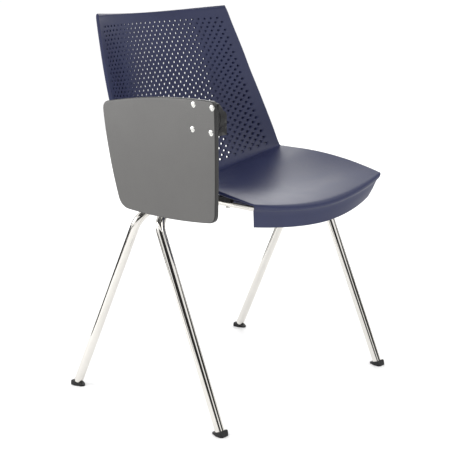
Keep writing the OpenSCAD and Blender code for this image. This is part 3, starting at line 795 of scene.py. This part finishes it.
def board_outline():
    """Each edge from after its first corner to before its second, then a round corner as
    a quadratic curve whose middle control point is the sharp corner."""
    parts = []
    for i in range(4):
        size = [np.linalg.norm(CORNERS[(k + 1) % 4] - CORNERS[k % 4]) for k in (i, i + 1)]
        m = (i + 1) % 4
        t0, t1 = ROUNDING[i] / size[0], 1 - ROUNDING[m] / size[0]
        parts.append(edge_at(i, np.linspace(t0, t1, 25)))
        a, b, c = parts[-1][-1], edge_at(m, ROUNDING[m] / size[1]), CORNERS[m]
        t = np.arange(1, 12)[:, None] / 12
        parts.append((1 - t) ** 2 * a + 2 * t * (1 - t) * c + t ** 2 * b)
    return np.concatenate(parts)


outline = board_outline()
tangent = np.roll(outline, -1, 0) - np.roll(outline, 1, 0)
inward = unit(np.stack([tangent[:, 1], -tangent[:, 0]], 1))
if ((outline.mean(0) - outline) * inward).sum() < 0:
    inward = -inward
arc_a = np.radians(np.arange(0, 91, 15))
outer_r, inner_r, flat_inset = 2.4, 1.2, 9.0
steps = [(flat_inset, 0.0), (outer_r + 1, 0.0)]
steps += [(outer_r * (1 - math.sin(a)), outer_r * (1 - math.cos(a))) for a in arc_a]
steps += [(inner_r * (1 - math.cos(a)), BOARD_T - inner_r * (1 - math.sin(a))) for a in arc_a]
steps += [(inner_r + 1, BOARD_T), (flat_inset, BOARD_T)]
layers = [np.column_stack([np.full(len(outline), BOARD_OUT + depth),
                           SWIVEL + outline + inward * inset]) for inset, depth in steps]
ring_n = len(outline)
board_points = np.concatenate(layers) * MM
board_faces = grid_faces(len(layers), ring_n, around=True)
caps = [list(range(ring_n)), list(range(len(board_points) - ring_n, len(board_points)))[::-1]]
board = make_piece("tablet_panel", board_points, board_faces + caps, "tablet",
                   "tablet_board", "tablet_laminate")
finish(board, LAMINATE, BOARD_EDGE)
GREY_RINGS = 3
edge_rings = np.zeros(len(board.data.polygons), np.int32)
edge_rings[GREY_RINGS * ring_n:(len(layers) - GREY_RINGS) * ring_n] = 1
board.data.polygons.foreach_set("material_index", edge_rings)


# %% [markdown]
# Four bright screws hold the board. Their low domed heads stand a little proud, and each
# has a shallow round drive recess. A profile turned about the screw's axis makes the whole head.

# %% Board screws
HEAD = [[0, -0.6], [1.5, -0.6], [1.7, -0.75], [1.9, -1.2], [2.6, -1.3], [4.2, -1.0], [5.4, -0.5],
        [6.2, 0.1], [6.5, 0.6], [6.5, 2.6], [0, 2.6]]
SCREW_SPACING, SCREW_TURN = 48, 3
screw_r = SCREW_SPACING / math.sqrt(2)
heads = []
for a in (45, 135, 225, 315):
    a = math.radians(a + SCREW_TURN)
    y, z = SWIVEL + screw_r * np.array([math.cos(a), math.sin(a)])
    heads.append(lathe(np.array(HEAD)[::-1] * MM, np.array([BOARD_OUT, y, z]) * MM, [1, 0, 0], 40))
finish(make_piece("board_screw_heads", *merged(heads), "tablet", "tablet_screws",
                  "bright_steel"), ZINC)


# %% [markdown]
# The small hardware keeps its exact solids as a start: a copy of each node is merged into
# one skin, its flat faces are joined again, and a bevel modifier rounds the sharp edges by
# some tenths of a millimetre, as a casting or a moulding has them. Blender only bevels edges
# between joined faces, which is why the merging comes first.

# %% Softened copies of the hardware
MERGE_DISTANCE, BEVEL_SEGMENTS = 1e-5, 3
FLAT_ANGLE, CREASE_ANGLE, BEVEL_ANGLE = (math.radians(a) for a in (2, 35, 40))


def softened(node, body, material, width):
    """A copy of a node with merged points, joined flat faces and a small bevel."""
    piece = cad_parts[node].copy()
    piece.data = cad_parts[node].data.copy()
    piece.name = node + "_soft"
    for key in list(piece.keys()):
        del piece[key]
    piece.parent = None
    piece.hide_render = piece.hide_viewport = False
    bpy.context.scene.collection.objects.link(piece)
    bm = bmesh.new()
    bm.from_mesh(piece.data)
    bmesh.ops.remove_doubles(bm, verts=bm.verts, dist=MERGE_DISTANCE)
    bmesh.ops.dissolve_limit(bm, angle_limit=FLAT_ANGLE, verts=bm.verts, edges=bm.edges)
    bmesh.ops.recalc_face_normals(bm, faces=bm.faces)
    bm.to_mesh(piece.data)
    bm.free()
    piece.data.shade_smooth()
    piece.data.set_sharp_from_angle(angle=CREASE_ANGLE)
    bevel = piece.modifiers.new("soft_edges", "BEVEL")
    bevel.width, bevel.segments, bevel.limit_method = width * MM, BEVEL_SEGMENTS, "ANGLE"
    bevel.angle_limit = BEVEL_ANGLE
    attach(piece, body)
    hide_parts(node)
    return finish(piece, material)


HARDWARE = [
    ("frame", NYLON, "black_plastic", 0.8, [f"glide_{end}_{side}" for end in ("front", "rear")
                                            for side in ("right", "left")]),
    ("frame", NYLON, "black_plastic", 0.5, ["rail_end_plugs", "shell_spacers",
                                            "arm_socket_plug"]),
    ("frame", CHROME, "chrome_tube", 0.4, ["gusset_right", "gusset_left", "arm_socket"]),
    ("frame", ZINC, "bright_steel", 0.4, ["shell_screws", "arm_grub_screws"]),
    ("frame", POWDER, "black_metal", 0.4, ["arm_head", "flip_pin", "flip_pin_clip"]),
    ("hinge_carrier", POWDER, "black_metal", 0.8, ["swivel_housing"]),
    ("hinge_carrier", NYLON, "black_plastic", 0.2, ["swivel_washer"]),
    ("hinge_carrier", ZINC, "bright_steel", 0.3, ["swivel_spindle", "swivel_stop_pin",
                                                  "spindle_nut"]),
    ("tablet", POWDER, "black_metal", 0.5, ["swivel_plate"])]
for body, material, slot, width, nodes in HARDWARE:
    for node in nodes:
        softened(node, body, material, width)
print("softened:", sum(len(h[4]) for h in HARDWARE), "nodes")


# %% [markdown]
# The stage is a pale floor that runs out of sight, a bright sky, and soft panels of light.
# Upright dark screens stand around the chair, because chrome shows only what is around it:
# without them the tubes would have no dark lines and look like plastic. The camera, the
# shadows and the soft light on matt surfaces take no notice of the screens.

# %% Stage and light
SKY_STRENGTH = 1.12
floor_mesh = bpy.data.meshes.new("floor")
reach = 60.0
floor_mesh.from_pydata([(-reach, -reach, 0), (reach, -reach, 0), (reach, reach, 0),
                        (-reach, reach, 0)], [], [(0, 1, 2, 3)])
floor = bpy.data.objects.new("floor", floor_mesh)
bpy.context.scene.collection.objects.link(floor)
floor_material, tree, shader, place = start_material("pale_floor", Roughness=0.6)
mottle = add(tree, "ShaderNodeTexNoise", Vector=place, Scale=3.0, Detail=3.0).outputs[0]
tree.links.new(mix_colour(tree, mottle, (0.90, 0.90, 0.90), (0.93, 0.93, 0.93)),
               shader.inputs["Base Color"])
floor_mesh.materials.append(floor_material)

world = bpy.data.worlds.new("studio")
world.use_nodes = True
sky = world.node_tree.nodes["Background"]
sky.inputs["Color"].default_value = (1.0, 1.0, 1.0, 1.0)
sky.inputs["Strength"].default_value = SKY_STRENGTH
bpy.context.scene.world = world
bpy.context.scene.view_settings.view_transform = "Standard"


def area_light(name, place, target, size, power, colour=(1, 1, 1)):
    """A square panel of light at a place, turned to face a target."""
    data = bpy.data.lights.new(name, "AREA")
    data.shape, data.size, data.energy, data.color = "SQUARE", size, power, colour
    light = bpy.data.objects.new(name, data)
    light.location = place
    aim = Vector(target) - Vector(place)
    light.rotation_euler = aim.to_track_quat("-Z", "Y").to_euler()
    light.visible_camera = False
    bpy.context.scene.collection.objects.link(light)


area_light("key", (-0.6, -2.2, 2.6), (0, 0, 0.5), 1.6, 16, (1.0, 0.985, 0.96))
area_light("board_sheen", (-1.3, 1.1, 0.95), (-0.3, 0, 0.7), 0.6, 10)
area_light("seat_sheen", (2.3, 2.1, 1.45), (0, 0, 0.45), 1.9, 24)


def dark_screen(name, azimuth, distance, width, low, high, tone=0.01):
    """An upright dark screen around the chair, from one height to another. The azimuth is
    measured from the X axis."""
    a = math.radians(azimuth)
    c = np.array([math.cos(a) * distance, math.sin(a) * distance, low])
    t = np.array([-math.sin(a), math.cos(a), 0]) * width / 2
    up = np.array([0, 0, high - low])
    mesh = bpy.data.meshes.new(name)
    mesh.from_pydata([tuple(p) for p in (c - t, c + t, c + t + up, c - t + up)], [],
                     [(0, 1, 2, 3)])
    screen = bpy.data.objects.new(name, mesh)
    bpy.context.scene.collection.objects.link(screen)
    material, _, shader, _ = start_material(name, Roughness=0.9)
    shader.inputs["Base Color"].default_value = (tone, tone, tone, 1)
    mesh.materials.append(material)
    screen.visible_camera = screen.visible_shadow = screen.visible_diffuse = False


SCREENS = [("screen_behind", -146, 4.5, 6.0, 0.55, 2.9),
           ("screen_side", -5, 2.4, 0.9, 0.0, 1.1),
           ("screen_rear", 80, 2.0, 1.2, 0.0, 0.9),
           ("screen_low", 120, 0.95, 0.5, 0.0, 0.4),
           ("screen_front", -60, 2.6, 3.0, 0.45, 1.25),
           ("screen_board", 147, 1.6, 2.0, 0.0, 0.2, 0.2)]
for screen in SCREENS:
    dark_screen(*screen)
